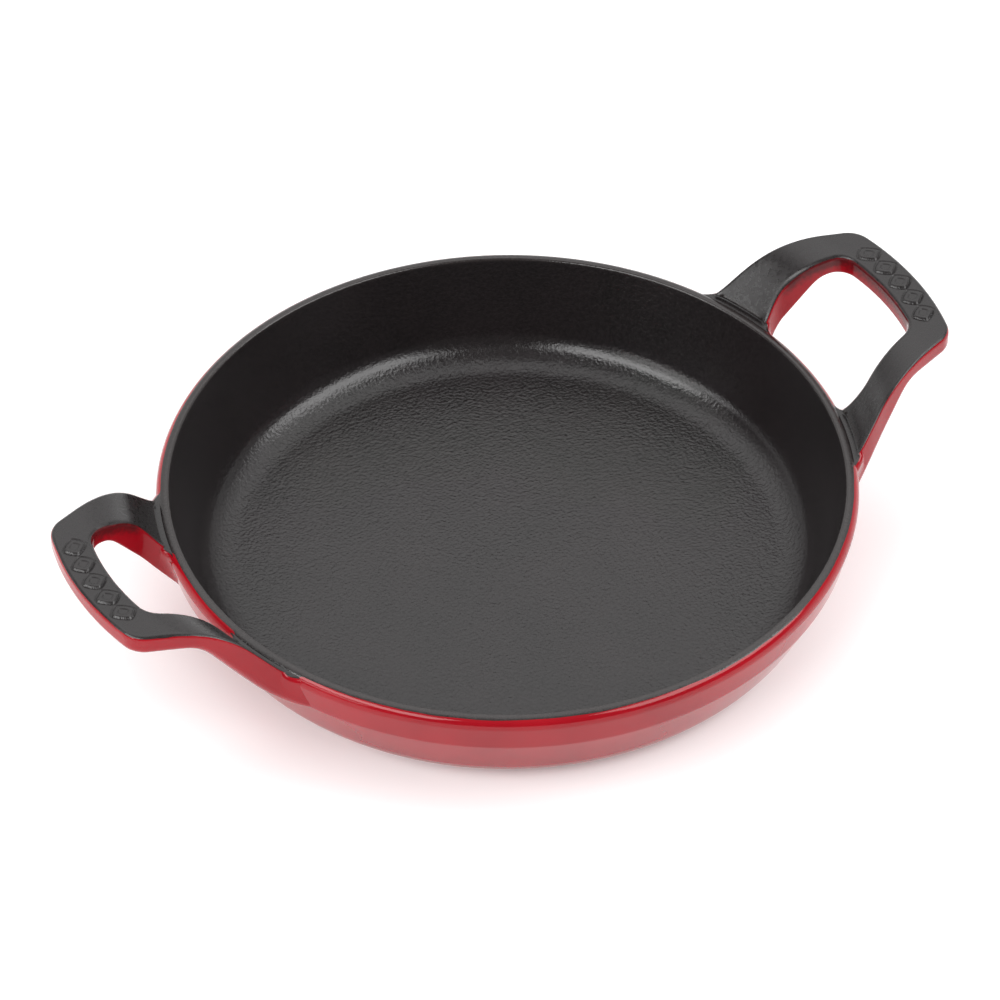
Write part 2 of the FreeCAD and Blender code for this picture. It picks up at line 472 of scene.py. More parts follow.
@dataclass(frozen=True)
class BlackEnamel:
    """Satin black enamel with a fine pebbled surface and painted shade in the pebble hollows, paler
    where the rim is rubbed.
    """

    name: str = "black_pebbled_enamel"
    dark: Colour = (0.0065, 0.0055, 0.0056)
    light: Colour = (0.0150, 0.0112, 0.0118)
    rubbed: Colour = (0.0260, 0.0205, 0.0198)
    pebbles_per_metre: float = 1000.0
    pebble_depth: float = 0.085
    fine_share: float = 0.15
    floor_relief: float = 4.2
    # Strength on the cooking floor of the cloudy tone and of the painted shade in the pebble
    # hollows.
    floor_tone_and_shade: float = 1.1
    floor_height: float = 8.0
    clouds_per_metre: float = 38.0
    gloss: Pair = (0.15, 0.24)
    ior: float = 1.52
    rim_height: float = 34.0
    rim_band: float = 0.9

    def make(self) -> bpy.types.Material:
        """Build the material.

        Returns:
            The new material.
        """
        sheet = NodeSheet(self.name)
        cloud = sheet.noise(self.clouds_per_metre, detail=3.0)
        grain = sheet.noise(self.pebbles_per_metre, detail=2.5, roughness=0.55, distortion=0.3)
        fine = sheet.noise(self.pebbles_per_metre * 3.1)
        # Cloudy tone that differs at random, plus painted shade: darker in the hollows of the
        # pebbles and lighter on their tops.
        tone = sheet.math("ADD", sheet.ramp(grain, 0.36, 0.64, 0.25, 0.6),
                          sheet.ramp(cloud, 0.3, 0.7, -0.15, 0.25))
        colour = sheet.blend(sheet.math("MULTIPLY", tone, self.on_floor(sheet, self.floor_tone_and_shade)),
                             self.dark, self.light)
        wear = sheet.math("MULTIPLY", self.rim_share(sheet), sheet.ramp(fine, 0.4, 0.6, 0.3, 1.0))
        sheet.join(sheet.over(colour, wear, self.rubbed), sheet.shader.inputs["Base Color"])
        sheet.join(sheet.ramp(grain, 0.35, 0.65, *self.gloss), sheet.shader.inputs["Roughness"])
        sheet.shader.inputs["IOR"].default_value = self.ior
        raised = sheet.math("MULTIPLY", grain, self.on_floor(sheet, self.floor_relief))
        pebble = sheet.relief(raised, self.pebble_depth)
        skin = sheet.relief(fine, self.pebble_depth * self.fine_share, pebble)
        sheet.join(skin, sheet.shader.inputs["Normal"])
        return sheet.material

    def on_floor(self, sheet: NodeSheet, factor: float) -> bpy.types.NodeSocket:
        """Give a factor that holds on the cooking floor and fades to 1 up the bend."""
        top = self.floor_height * METRES_PER_MM
        return sheet.ramp(sheet.height(), top / 2, top, factor, 1.0)

    def rim_share(self, sheet: NodeSheet) -> bpy.types.NodeSocket:
        """Find how much of the rubbed tone shows, by height about the rim.

        Args:
            sheet: The material being built.

        Returns:
            A share from 0 to 1.
        """
        top = self.rim_height * METRES_PER_MM
        band = self.rim_band * METRES_PER_MM
        height = sheet.height()
        rising = sheet.ramp(height, top - band, top - band / 2, 0.0, 1.0)
        falling = sheet.ramp(height, top + band / 4, top + band, 1.0, 0.0)
        return sheet.math("MULTIPLY", rising, falling)


@dataclass(frozen=True)
class RedEnamel:
    """Deep glossy red enamel, very slightly uneven, with painted shade on the sides of the finger
    holes.
    """

    name: str = "red_glossy_enamel"
    deep: Colour = (0.272, 0.003, 0.0085)
    bright: Colour = (0.325, 0.005, 0.0115)
    # Dark red painted in as shade on the upper sides of the finger holes.
    painted_hole_shade: Colour = (0.085, 0.006, 0.008)
    gloss: Pair = (0.05, 0.11)
    ior: float = 1.40
    swells_per_metre: float = 55.0
    peel_per_metre: float = 420.0
    speckles_per_metre: float = 700.0
    sheen_per_metre: float = 160.0
    swell_depth: float = 0.05
    peel_share: float = 0.06

    def make(self) -> bpy.types.Material:
        """Build the material.

        Returns:
            The new material.
        """
        sheet = NodeSheet(self.name)
        swell = sheet.noise(self.swells_per_metre)
        skin = sheet.noise(self.peel_per_metre)
        colour = sheet.blend(sheet.ramp(swell, 0.3, 0.7, 0.0, 1.0), self.deep, self.bright)
        # Painted shade: the hole shade attribute darkens the upper sides of the finger holes, with
        # speckles along its edge.
        hole_shade_node = sheet.tree.nodes.new("ShaderNodeAttribute")
        hole_shade_node.attribute_name = HOLE_SHADE_ATTRIBUTE
        dots = sheet.noise(self.speckles_per_metre, detail=3.0, roughness=0.6)
        speckle = sheet.ramp(dots, 0.3, 0.7, -0.25, 0.25)
        share = sheet.ramp(sheet.math("ADD", hole_shade_node.outputs["Fac"], speckle), 0.2, 1.0, 0.0, 1.0)
        sheet.join(sheet.over(colour, share, self.painted_hole_shade), sheet.shader.inputs["Base Color"])
        rough = sheet.ramp(sheet.noise(self.sheen_per_metre, detail=3.0), 0.3, 0.7, *self.gloss)
        sheet.join(rough, sheet.shader.inputs["Roughness"])
        sheet.shader.inputs["IOR"].default_value = self.ior
        waves = sheet.relief(swell, self.swell_depth)
        peel = sheet.relief(skin, self.swell_depth * self.peel_share, waves)
        sheet.join(peel, sheet.shader.inputs["Normal"])
        return sheet.material


@dataclass(frozen=True)
class CastIron:
    """Sand-cast grey iron, as it is under the enamel."""

    name: str = "sand_cast_iron"
    dark: Colour = (0.05, 0.05, 0.052)
    light: Colour = (0.11, 0.108, 0.105)
    grains_per_metre: float = 900.0
    sand_depth: float = 0.15
    metallic: float = 0.6

    def make(self) -> bpy.types.Material:
        """Build the material.

        Returns:
            The new material.
        """
        sheet = NodeSheet(self.name)
        sand = sheet.noise(self.grains_per_metre, detail=4.0, roughness=0.65)
        colour = sheet.blend(sheet.ramp(sand, 0.3, 0.7, 0.0, 1.0), self.dark, self.light)
        sheet.join(colour, sheet.shader.inputs["Base Color"])
        rough = sheet.ramp(sand, 0.3, 0.7, 0.55, 0.8)
        sheet.join(rough, sheet.shader.inputs["Roughness"])
        sheet.shader.inputs["Metallic"].default_value = self.metallic
        sheet.join(sheet.relief(sand, self.sand_depth), sheet.shader.inputs["Normal"])
        return sheet.material


@dataclass(frozen=True)
class UndersideEnamel:
    """Thin satin black enamel under the base, rubbed by hobs and shelves."""

    name: str = "underside_satin_enamel"
    dark: Colour = (0.025, 0.025, 0.026)
    rubbed: Colour = (0.07, 0.068, 0.066)
    grains_per_metre: float = 520.0
    grain_depth: float = 0.06
    rubs_per_metre: float = 28.0

    def make(self) -> bpy.types.Material:
        """Build the material.

        Returns:
            The new material.
        """
        sheet = NodeSheet(self.name)
        grain = sheet.noise(self.grains_per_metre, detail=3.0)
        wear = sheet.noise(self.rubs_per_metre, detail=5.0, roughness=0.6)
        colour = sheet.blend(sheet.ramp(wear, 0.48, 0.68, 0.0, 1.0), self.dark, self.rubbed)
        sheet.join(colour, sheet.shader.inputs["Base Color"])
        rough = sheet.ramp(wear, 0.4, 0.7, 0.32, 0.5)
        sheet.join(rough, sheet.shader.inputs["Roughness"])
        sheet.join(sheet.relief(grain, self.grain_depth), sheet.shader.inputs["Normal"])
        return sheet.material


# ------------------------------------------------------------ shape of dish
@dataclass(frozen=True)
class DishShape:
    """Section of the dish, in millimetres, on the frame's base and rim."""

    height: float
    base_radius: float
    widest_radius: float
    base_bend: float = 16.0
    floor: float = 4.0
    waist_radius: float = 98.9
    waist_height: float = 22.3
    waist_run: float = 0.7
    lip_round: float = 3.0
    inner_lip_round: float = 0.9

    @property
    def bend_centre(self) -> Pair:
        """Centre of the bend from base to wall."""
        return self.base_radius, self.base_bend

    @property
    def lip_centre(self) -> Pair:
        """Centre of the rounding on the outside of the rim."""
        return self.widest_radius - self.lip_round, self.height - self.lip_round

    @property
    def waist(self) -> Pair:
        """The faint ridge round the outer wall."""
        return self.waist_radius, self.waist_height

    @property
    def lower_lean(self) -> float:
        """Lean of the wall below the waist."""
        return lean_of_tangent(self.bend_centre, self.base_bend, self.waist, 0.0)

    @property
    def upper_lean(self) -> float:
        """Lean of the wall above the waist."""
        return lean_of_tangent(self.waist, 0.0, self.lip_centre, self.lip_round)

    def inside(self) -> np.ndarray:
        """Path from the middle of the cooking floor to the top of the rim.

        Returns:
            Rows of radius and height.
        """
        inner_bend = self.base_bend - self.floor
        lip = (self.lip_centre[0], self.height - self.inner_lip_round)
        lean = lean_of_tangent(self.bend_centre, inner_bend, lip, -self.inner_lip_round)
        floor = straight((-1.0, self.floor), (self.base_radius, self.floor), 40)
        floor[0, 0] = 0.0
        bend = arc(self.bend_centre, inner_bend, -90.0, -lean, 22)
        rim = arc(lip, self.inner_lip_round, 180.0 - lean, 90.0, 8)
        wall = straight(bend[-1], rim[0], 24)
        return np.concatenate([floor, bend, wall, rim])

    def outside(self) -> np.ndarray:
        """Path from under the outer lip down to the edge of the flat base.

        Returns:
            Rows of radius and height.
        """
        lip_end = arc(self.lip_centre, self.lip_round, -self.upper_lean, -self.upper_lean, 1)
        bend = arc(self.bend_centre, self.base_bend, -self.lower_lean, -90.0, 22)
        above = np.asarray(self.waist) + self.waist_step(self.upper_lean)
        below = np.asarray(self.waist) - self.waist_step(self.lower_lean)
        corner = np.asarray(self.waist)
        share = np.linspace(0.0, 1.0, 7)[:, None]
        ridge = (1 - share) ** 2 * above + 2 * share * (1 - share) * corner + share ** 2 * below
        upper = straight(lip_end[0], above, 14)
        lower = straight(below, bend[0], 14)
        return np.concatenate([upper, ridge, lower, bend])

    def waist_step(self, lean: float) -> np.ndarray:
        """Run along the wall from the waist to where its rounding ends."""
        return self.waist_run * np.array([degrees_sin(lean), degrees_cos(lean)])

    def outer_radius(self, height: np.ndarray) -> np.ndarray:
        """Find the radius of the outer wall.

        Args:
            height: Heights above the table.

        Returns:
            The radius at each height.
        """
        lip = arc(self.lip_centre, self.lip_round, 90.0, -self.upper_lean, 30)
        path = np.concatenate([lip, self.outside()])[::-1]
        return np.interp(height, path[:, 1], path[:, 0])


@dataclass
class Dish:
    """The bowl: its black lining, its red jacket and the coat under it."""

    shape: DishShape
    columns: int = 720
    black_edge: float = 58.0
    black_edge_at_root: float = 34.0
    root_span: Pair = (10.6, 26.3)
    root_ease: float = 1.2
    edge_ripple: Ripple = Ripple(seed=11, depth=1.5, slowest=5, fastest=90)

    def edge_angle(self) -> np.ndarray:
        """Find where black meets red on the outer lip.

        Returns:
            Angles in degrees, one for each column.
        """
        azimuth = np.linspace(0.0, 2.0 * math.pi, self.columns, endpoint=False)
        from_handle = np.degrees(np.abs(np.arctan2(np.sin(2 * azimuth), np.cos(2 * azimuth)))) / 2
        low, high = self.root_span
        at_root = (smooth_step((from_handle - low) / self.root_ease)
                   * smooth_step((high - from_handle) / self.root_ease))
        plain = self.black_edge + self.edge_ripple.at(azimuth)
        return plain + (self.black_edge_at_root - plain) * at_root

    def lip_rows(self, start: np.ndarray, end: np.ndarray, count: int
                 ) -> tuple[np.ndarray, np.ndarray]:
        """Place rows of points over the outer lip.

        Args:
            start: Angle of the first row, in degrees, for each column.
            end: Angle of the last row.
            count: Number of rows.

        Returns:
            Radius and height at each row and column.
        """
        share = np.linspace(0.0, 1.0, count)[:, None]
        angle = np.radians(start[None, :] * (1.0 - share) + end[None, :] * share)
        radius = self.shape.lip_centre[0] + self.shape.lip_round * np.cos(angle)
        height = self.shape.lip_centre[1] + self.shape.lip_round * np.sin(angle)
        return radius, height

    def spread(self, path: np.ndarray) -> tuple[np.ndarray, np.ndarray]:
        """A path repeated for every column."""
        ones = np.ones((1, self.columns))
        return path[:, :1] * ones, path[:, 1:] * ones

    def shell(self, name: str, radius: np.ndarray, height: np.ndarray,
              inward: float) -> bpy.types.Object:
        """Build a closed coat from its outer face.

        Args:
            name: Name of the piece.
            radius: Radius of the outer face, by row and column.
            height: Height of the outer face, by row and column.
            inward: 1 or -1, the side of the face on which the coat lies.

        Returns:
            The piece's object.
        """
        across, up = section_normals(radius, height)
        back_radius = np.maximum(radius - inward * across * ENAMEL, 0.0)
        back_height = height - inward * up * ENAMEL
        back_radius[radius == 0.0] = 0.0
        rows_r = np.concatenate([radius, back_radius[::-1]])
        rows_z = np.concatenate([height, back_height[::-1]])
        points = turned_points(rows_r, rows_z)
        faces = grid_faces(points.shape[0], points.shape[1], True, True)
        return add_mesh(name, points.reshape(-1, 3), faces, weld=WELD)

    def build_lining(self, finish: bpy.types.Material) -> bpy.types.Object:
        """Build the black coat on the cooking floor, the inner wall and the rim.

        Args:
            finish: Its material.

        Returns:
            The piece's object.
        """
        edge = self.edge_angle()
        inside = self.spread(self.shape.inside())
        lip = self.lip_rows(np.full(self.columns, 90.0), edge, 12)
        radius = np.concatenate([inside[0], lip[0][1:]])
        height = np.concatenate([inside[1], lip[1][1:]])
        piece = self.shell("black_lining", radius, height, -1.0)
        return ride_and_slot(piece, ["black_enamel_lining"], finish)

    def build_jacket(self, finish: bpy.types.Material) -> bpy.types.Object:
        """Build the red coat from the black edge down to the base.

        Args:
            finish: Its material.

        Returns:
            The piece's object.
        """
        end = np.full(self.columns, -self.shape.upper_lean)
        lip = self.lip_rows(self.edge_angle(), end, 16)
        wall = self.spread(self.shape.outside())
        radius = np.concatenate([lip[0], wall[0]])
        height = np.concatenate([lip[1], wall[1]])
        piece = self.shell("red_jacket", radius, height, -1.0)
        return ride_and_slot(piece, ["red_enamel_jacket"], finish)

    def build_underside(self, finish: bpy.types.Material) -> bpy.types.Object:
        """Build the coat under the flat base.

        Args:
            finish: Its material.

        Returns:
            The piece's object.
        """
        rim = self.shape.base_radius
        path = straight((-1.0, 0.0), (rim + 1.0, 0.0), 42)
        path[0, 0] = 0.0
        path[-1, 0] = rim
        radius, height = self.spread(path)
        piece = self.shell("underside_coat", radius, height, 1.0)
        return ride_and_slot(piece, ["underside_enamel"], finish)


# ---------------------------------------------------------- shape of handles
@dataclass(frozen=True)
class LoopShape:
    """Plan and section of a handle on the +X side, in millimetres."""

    reach: float
    wall: float
    bow: float = 90.0
    grip_width: float = 10.6
    corner: float = 8.0
    hole_corner: float = 6.5
    gauge: float = 109.0
    half_spread: float = 34.9
    taper: float = 19.5
    hole_half_spread: float = 22.6
    hole_taper: float = 16.0
    flare: float = 55.0
    flare_start: float = 106.0
    flare_end_lean: float = 47.0
    hole_root: float = 5.5

    def corner_arc(self, reach: float, bow: float, corner: float, half: float,
                   taper: float) -> np.ndarray:
        """Arc from the bowed end round a corner to the side of a loop.

        Args:
            reach: Distance of the bowed end from the axis.
            bow: Radius of the bowed end.
            corner: Radius of the corner.
            half: Half the width of the loop at the gauge.
            taper: Lean of the side, in degrees.

        Returns:
            Rows of along and across.
        """
        to_side = half * degrees_cos(taper) + self.gauge * degrees_sin(taper) - corner
        sine = (to_side - (reach - bow) * degrees_sin(taper)) / (bow - corner)
        swing = math.degrees(math.asin(sine)) - taper
        centre = (reach - bow + (bow - corner) * degrees_cos(swing),
                  (bow - corner) * degrees_sin(swing))
        return arc(centre, corner, swing, 90.0 - taper, 40)

    def bow_arc(self, reach: float, bow: float, end: np.ndarray) -> np.ndarray:
        """Bowed end from the middle of the grip to where its corner starts."""
        swing = math.degrees(math.atan2(end[1], end[0] - (reach - bow)))
        return arc((reach - bow, 0.0), bow, 0.0, swing, 80)

    def outer(self) -> np.ndarray:
        """Trace the outside of one arm and half the grip, from wall to middle.

        Returns:
            Rows of along and across.
        """
        corner = self.corner_arc(self.reach, self.bow, self.corner, self.half_spread, self.taper)
        bow = self.bow_arc(self.reach, self.bow, corner[0])
        back = self.gauge - self.flare_start
        half = self.half_spread + back * math.tan(math.radians(self.taper))
        centre = (self.flare_start + self.flare * degrees_sin(self.taper),
                  half + self.flare * degrees_cos(self.taper))
        flare = arc(centre, self.flare, 270.0 - self.flare_end_lean, 270.0 - self.taper, 120)
        arm = straight(flare[-1], corner[-1], 60)
        return np.concatenate([flare, arm, corner[::-1], bow[::-1][1:]])

    def inner(self) -> np.ndarray:
        """Trace the finger hole along one arm, from wall to middle.

        Returns:
            Rows of along and across.
        """
        reach = self.reach - self.grip_width
        bow = self.bow - self.grip_width
        corner = self.corner_arc(reach, bow, self.hole_corner, self.hole_half_spread,
                                 self.hole_taper)
        arc_end = self.bow_arc(reach, bow, corner[0])
        across, up = degrees_sin(self.hole_taper), degrees_cos(self.hole_taper)
        to_line = self.hole_half_spread * up + self.gauge * across - self.hole_root
        out = self.wall + self.hole_root
        swing = math.degrees(math.asin(to_line / out)) - self.hole_taper
        centre = (out * degrees_cos(swing), out * degrees_sin(swing))
        root = arc(centre, self.hole_root, 180.0 + swing, 90.0 - self.hole_taper, 160)
        arm = straight(root[-1], corner[-1], 60)
        return np.concatenate([root, arm, corner[::-1], arc_end[::-1][1:]])


@dataclass(frozen=True)
class LoopHeights:
    """Heights of the top and underside of a handle by distance from the axis."""

    ledge: float = 33.2
    ledge_end: float = 101.9
    valley_depth: float = 0.28
    valley_end: float = 103.1
    valley_ease: float = 0.4
    rise_length: float = 4.6
    rise: float = 61.0
    shoulder_round: float = 22.3
    shoulder_radius: float = 126.05
    shoulder_height: float = 52.94
    grip_slope: float = 1.0
    grip_thickness: float = 6.6
    arm_thickness: float = 7.5
    under_round: float = 7.0
    foot_radius: float = 102.4
    foot_height: float = 20.5
    foot_angle: float = 32.0
    waist_radius: float = 98.9
    inner_limit: float = 78.0
    outer_limit: float = 150.0

    @property
    def shoulder_centre(self) -> Pair:
        """Centre of the rounding at the top of the rise."""
        return (self.shoulder_radius + self.shoulder_round * degrees_sin(self.grip_slope),
                self.shoulder_height - self.shoulder_round * degrees_cos(self.grip_slope))

    def far_height(self) -> float:
        """Height of the top at the outer limit."""
        run = self.outer_limit - self.shoulder_radius
        return self.shoulder_height + run * math.tan(math.radians(self.grip_slope))

    def top_path(self) -> np.ndarray:
        """Trace the top from under the rim to past the grip.

        Returns:
            Rows of radius and height.
        """
        low = self.ledge - self.valley_depth
        valley = [(self.ledge_end + self.valley_ease, low),
                  (self.valley_end - self.valley_ease, low)]
        shoulder = arc(self.shoulder_centre, self.shoulder_round, self.rise + 90.0,
                       self.grip_slope + 90.0, 60)
        along = np.array([degrees_cos(self.rise), degrees_sin(self.rise)])
        foot = shoulder[0] - self.rise_length * along
        ledge = [(self.inner_limit, self.ledge), (self.ledge_end, self.ledge)]
        end = [(self.outer_limit, self.far_height())]
        return np.concatenate([ledge, valley, [foot], shoulder, end])

    def under_path(self) -> np.ndarray:
        """Trace the underside from inside the wall to past the grip.

        Returns:
            Rows of radius and height.
        """
        slope = math.tan(math.radians(self.foot_angle))
        low = (self.inner_limit,
               self.foot_height - (self.waist_radius - self.inner_limit) * slope)
        high = (self.foot_radius,
                self.foot_height + (self.foot_radius - self.waist_radius) * slope)
        between = self.under_round + self.arm_thickness - self.shoulder_round
        height = self.shoulder_height - self.grip_thickness - self.under_round
        lower = degrees_cos(self.rise) * (height - self.shoulder_centre[1])
        centre = (self.shoulder_centre[0] + (between + lower) / degrees_sin(self.rise), height)
        turn = arc(centre, self.under_round, self.rise + 90.0, self.grip_slope + 90.0, 30)
        far = (self.outer_limit, self.far_height() - self.grip_thickness)
        return np.concatenate([[low], [high], turn, [far]])

    @staticmethod
    def softened(path: np.ndarray, spread: float) -> Callable[[np.ndarray], np.ndarray]:
        """Round a path off over a small spread.

        Args:
            path: Rows of radius and height.
            spread: Spread of the rounding, in millimetres.

        Returns:
            A function from radii to heights.
        """
        step = 0.05
        radius = np.arange(path[0, 0], path[-1, 0], step)
        height = np.interp(radius, path[:, 0], path[:, 1])
        reach = int(3 * spread / step)
        weights = np.exp(-0.5 * (np.arange(-reach, reach + 1) * step / spread) ** 2)
        padded = np.pad(height, reach, mode="edge")
        smooth = np.convolve(padded, weights / weights.sum(), mode="valid")
        return lambda wanted: np.interp(wanted, radius, smooth)


@dataclass
class Handle:
    """One loop handle: black skin on top, red skin below, iron inside."""

    side: Side
    dish: DishShape
    plan: LoopShape
    heights: LoopHeights = LoopHeights()
    top_round: float = 1.5
    top_soft: Pair = (0.42, 1.1)
    foot_round: Pair = (2.4, 1.0)
    black_edge: float = 52.0
    root_fillet: Pair = (7.0, 1.0)
    under_fillet: float = 5.0
    root_steps: int = 60
    root_length: float = 15.6
    root_depth: float = 1.6
    root_share: float = 0.45
    foot_gap: float = 1.9
    lean_reach: float = 8.0
    under_soft: float = 1.3
    soft_reach: float = 4.0
    top_fillet_share: float = 0.3
    flank_hollow: float = 0.4
    near_wall: Pair = (0.72, 0.28)
    near_wall_span: Pair = (0.5, 4.0)
    black_ripple: float = 3.0
    loop_steps: int = 200
    studs: int = 5
    stud_pitch: float = 7.6
    stud_half_length: float = 3.1
    stud_half_width: float = 3.3
    stud_height: float = 0.36
    stud_power: float = 1.3
    stud_bevel: float = 0.22
    stud_hollow: Pair = (0.40, 0.9)
    moat: Pair = (0.28, 0.85)
    moat_bevel: float = 0.2
    # Where the painted shade in the finger hole lies: gap from the hole's edge, distance from the
    # wall, depth under the top, softening of the top.
    hole_shade_gap: Pair = (1.0, 0.8)
    hole_shade_from_wall: Pair = (5.0, 5.0)
    hole_shade_depth: Pair = (1.5, 5.0)
    hole_shade_soft: float = 0.3
    grid: dict[str, np.ndarray] = field(default_factory=dict)

    def stations(self) -> tuple[np.ndarray, np.ndarray, np.ndarray]:
        """Outer ends, inner ends and distances from the wall of the sections.

        Returns:
            Two arrays of (along, across) ends for one arm and half the grip,
            and how far each section stands off the wall of the dish.
        """
        outline = [evened(path, OUTLINE_POINTS)
                   for path in (self.plan.outer(), self.plan.inner())]
        share = np.linspace(-self.root_share, 1.0, self.root_steps)
        reach = self.root_length - self.root_depth
        stand_off = np.where(share < 0.0, self.root_depth * share / self.root_share,
                             reach * share ** 2)
        ends = []
        for path in outline:
            distance = np.hypot(path[:, 0], path[:, 1])
            climbing = np.argmax(distance > self.plan.wall + reach + 1.0)
            azimuth = np.arctan2(path[:climbing, 1], path[:climbing, 0])
            wanted = self.plan.wall + stand_off
            angle = np.interp(wanted, distance[:climbing], azimuth)
            root = np.stack([wanted * np.cos(angle), wanted * np.sin(angle)], axis=1)
            rest = path[np.argmax(distance > self.plan.wall + reach):]
            ends.append(np.concatenate([root, evened(rest, self.loop_steps)[1:]]))
        far = np.hypot(ends[0][self.root_steps:, 0], ends[0][self.root_steps:, 1])
        return ends[0], ends[1], np.concatenate([stand_off, far - self.plan.wall])

    def both_arms(self, half: np.ndarray, flip: float) -> np.ndarray:
        """Mirror one arm to both.

        Args:
            half: Values for one arm and half the grip.
            flip: What the across value is multiplied by on the other arm.

        Returns:
            Values for both arms.
        """
        other = half[::-1][1:].copy()
        if other.ndim == 2:
            other[:, 1] *= flip
        return np.concatenate([half, other])

    def fillet(self, stand_off: np.ndarray, radius: float) -> np.ndarray:
        """How far a rounded root spreads at each distance from the wall."""
        inside = np.clip(radius - stand_off, 0.0, radius)
        return radius - np.sqrt(np.maximum(radius ** 2 - inside ** 2, 0.0))

    def motif(self, along: np.ndarray, across: np.ndarray) -> np.ndarray:
        """Shape the plain lozenge studs on top of the grip.

        Args:
            along: Distances from the axis of the dish.
            across: Distances along the grip.

        Returns:
            Height of the studs at each point.
        """
        middle = self.plan.reach - self.plan.grip_width / 2
        bowed = middle - across ** 2 / (2 * (self.plan.bow - self.plan.grip_width / 2))
        total = np.zeros_like(along)
        for number in range(self.studs):
            place = (number - (self.studs - 1) / 2) * self.stud_pitch
            reach_u = np.abs(across - place) / self.stud_half_length
            reach_v = np.abs(along - bowed) / self.stud_half_width
            power = self.stud_power
            inside = 1.0 - (reach_u ** power + reach_v ** power) ** (1 / power)
            start, depth = self.stud_hollow
            rim = (smooth_step(inside / self.stud_bevel)
                   - depth * smooth_step((inside - start) / self.stud_bevel))
            reach, depth = self.moat
            moat = -depth * smooth_step((inside + reach) / self.moat_bevel) * (inside < 0.0)
            total = np.where(inside > 0.0, rim, np.where(moat < 0.0, moat, total))
        return self.stud_height * total

    def turned_to_side(self, points: np.ndarray) -> np.ndarray:
        """Turn points made for the right-hand end to this handle's end.

        Args:
            points: Rows of points.

        Returns:
            The turned points.
        """
        cosine, sine = math.cos(self.side.turn), math.sin(self.side.turn)
        spin = np.array([[cosine, sine, 0.0], [-sine, cosine, 0.0], [0.0, 0.0, 1.0]])
        return points @ spin

    def skin(self, name: str, columns: np.ndarray) -> bpy.types.Object:
        """Build a closed coat over some of the points round each section.

        Args:
            name: Name of the piece.
            columns: Which points round a section it covers.

        Returns:
            The piece's object.
        """
        outer = self.grid["outer"][:, columns]
        back = self.grid["inner"][:, columns][:, ::-1]
        loop = np.concatenate([outer, back], axis=1)
        rows, count = loop.shape[:2]
        faces = grid_faces(rows, count, False, True)
        half = count // 2
        for row in (0, rows - 1):
            for column in range(half - 1):
                first = row * count
                faces.append((first + column, first + column + 1,
                              first + count - 2 - column, first + count - 1 - column))
        points = self.turned_to_side(loop.reshape(-1, 3))
        piece = add_mesh(name, points, faces)
        # Share of painted shade on the sides of the finger hole, kept at each point.
        hole_shade_marks = piece.data.attributes.new(HOLE_SHADE_ATTRIBUTE, "FLOAT", "POINT")
        hole_shade_marks.data.foreach_set("value", self.painted_hole_shade(loop.reshape(-1, 3)).astype(np.float32))
        return piece

    def painted_hole_shade(self, points: np.ndarray) -> np.ndarray:
        """Find the share of painted shade on the sides of the finger hole: strongest just under the
        top, fading downwards and towards the wall of the dish.

        Args:
            points: Rows of points.

        Returns:
            A share from 0 to 1 at each point.
        """
        outline = evened(self.plan.inner(), HOLE_SHADE_POINTS)
        gap = np.empty(len(points))
        flat = np.abs(points[:, :2])
        for start in range(0, len(points), HOLE_SHADE_BATCH):
            part = slice(start, start + HOLE_SHADE_BATCH)
            apart = np.linalg.norm(flat[part, None, :] - outline[None, :, :], axis=2)
            gap[part] = apart.min(axis=1)
        nominal = np.hypot(points[:, 0], points[:, 1])
        top = self.heights.softened(self.heights.top_path(), self.hole_shade_soft)(nominal)
        below = top - points[:, 2]
        beside = 1.0 - smooth_step((gap - self.hole_shade_gap[0]) / self.hole_shade_gap[1])
        start, run = self.hole_shade_from_wall
        away = smooth_step((nominal - self.plan.wall - start) / run)
        start, run = self.hole_shade_depth
        return beside * away * (1.0 - smooth_step((below - start) / run))

    def build(self, black: bpy.types.Material, red: bpy.types.Material,
              iron: bpy.types.Material) -> None:
        """Make the handle's three pieces and put them on the frame.

        Args:
            black: Material of the top.
            red: Material of the sides and underside.
            iron: Material of the core.
        """
        label = self.side.label
        self.grid["outer"], blacks = LoopSections(self, 0.0).points()
        self.grid["inner"], _ = LoopSections(self, ENAMEL).points()
        total = self.grid["outer"].shape[1]
        top = np.arange(blacks)
        rest = np.concatenate([np.arange(blacks - 1, total), [0]])
        piece = self.skin(f"black_handle_top_{label}", top)
        ride_and_slot(piece, [f"black_enamel_handle_top_{label}"], black)
        piece = self.skin(f"red_handle_skin_{label}", rest)
        ride_and_slot(piece, [f"red_enamel_handle_{label}"], red)
        core = self.grid["inner"]
        rows, count = core.shape[:2]
        faces = grid_faces(rows, count, False, True)
        faces.append(tuple(range(count)))
        faces.append(tuple((rows - 1) * count + column for column in reversed(range(count))))
        points = self.turned_to_side(core.reshape(-1, 3))
        piece = add_mesh(f"iron_handle_core_{label}", points, faces)
        ride_and_slot(piece, [f"cast_iron_handle_{label}"], iron)
        LOG.info("handle %s: %d sections of %d points", label, rows, total)


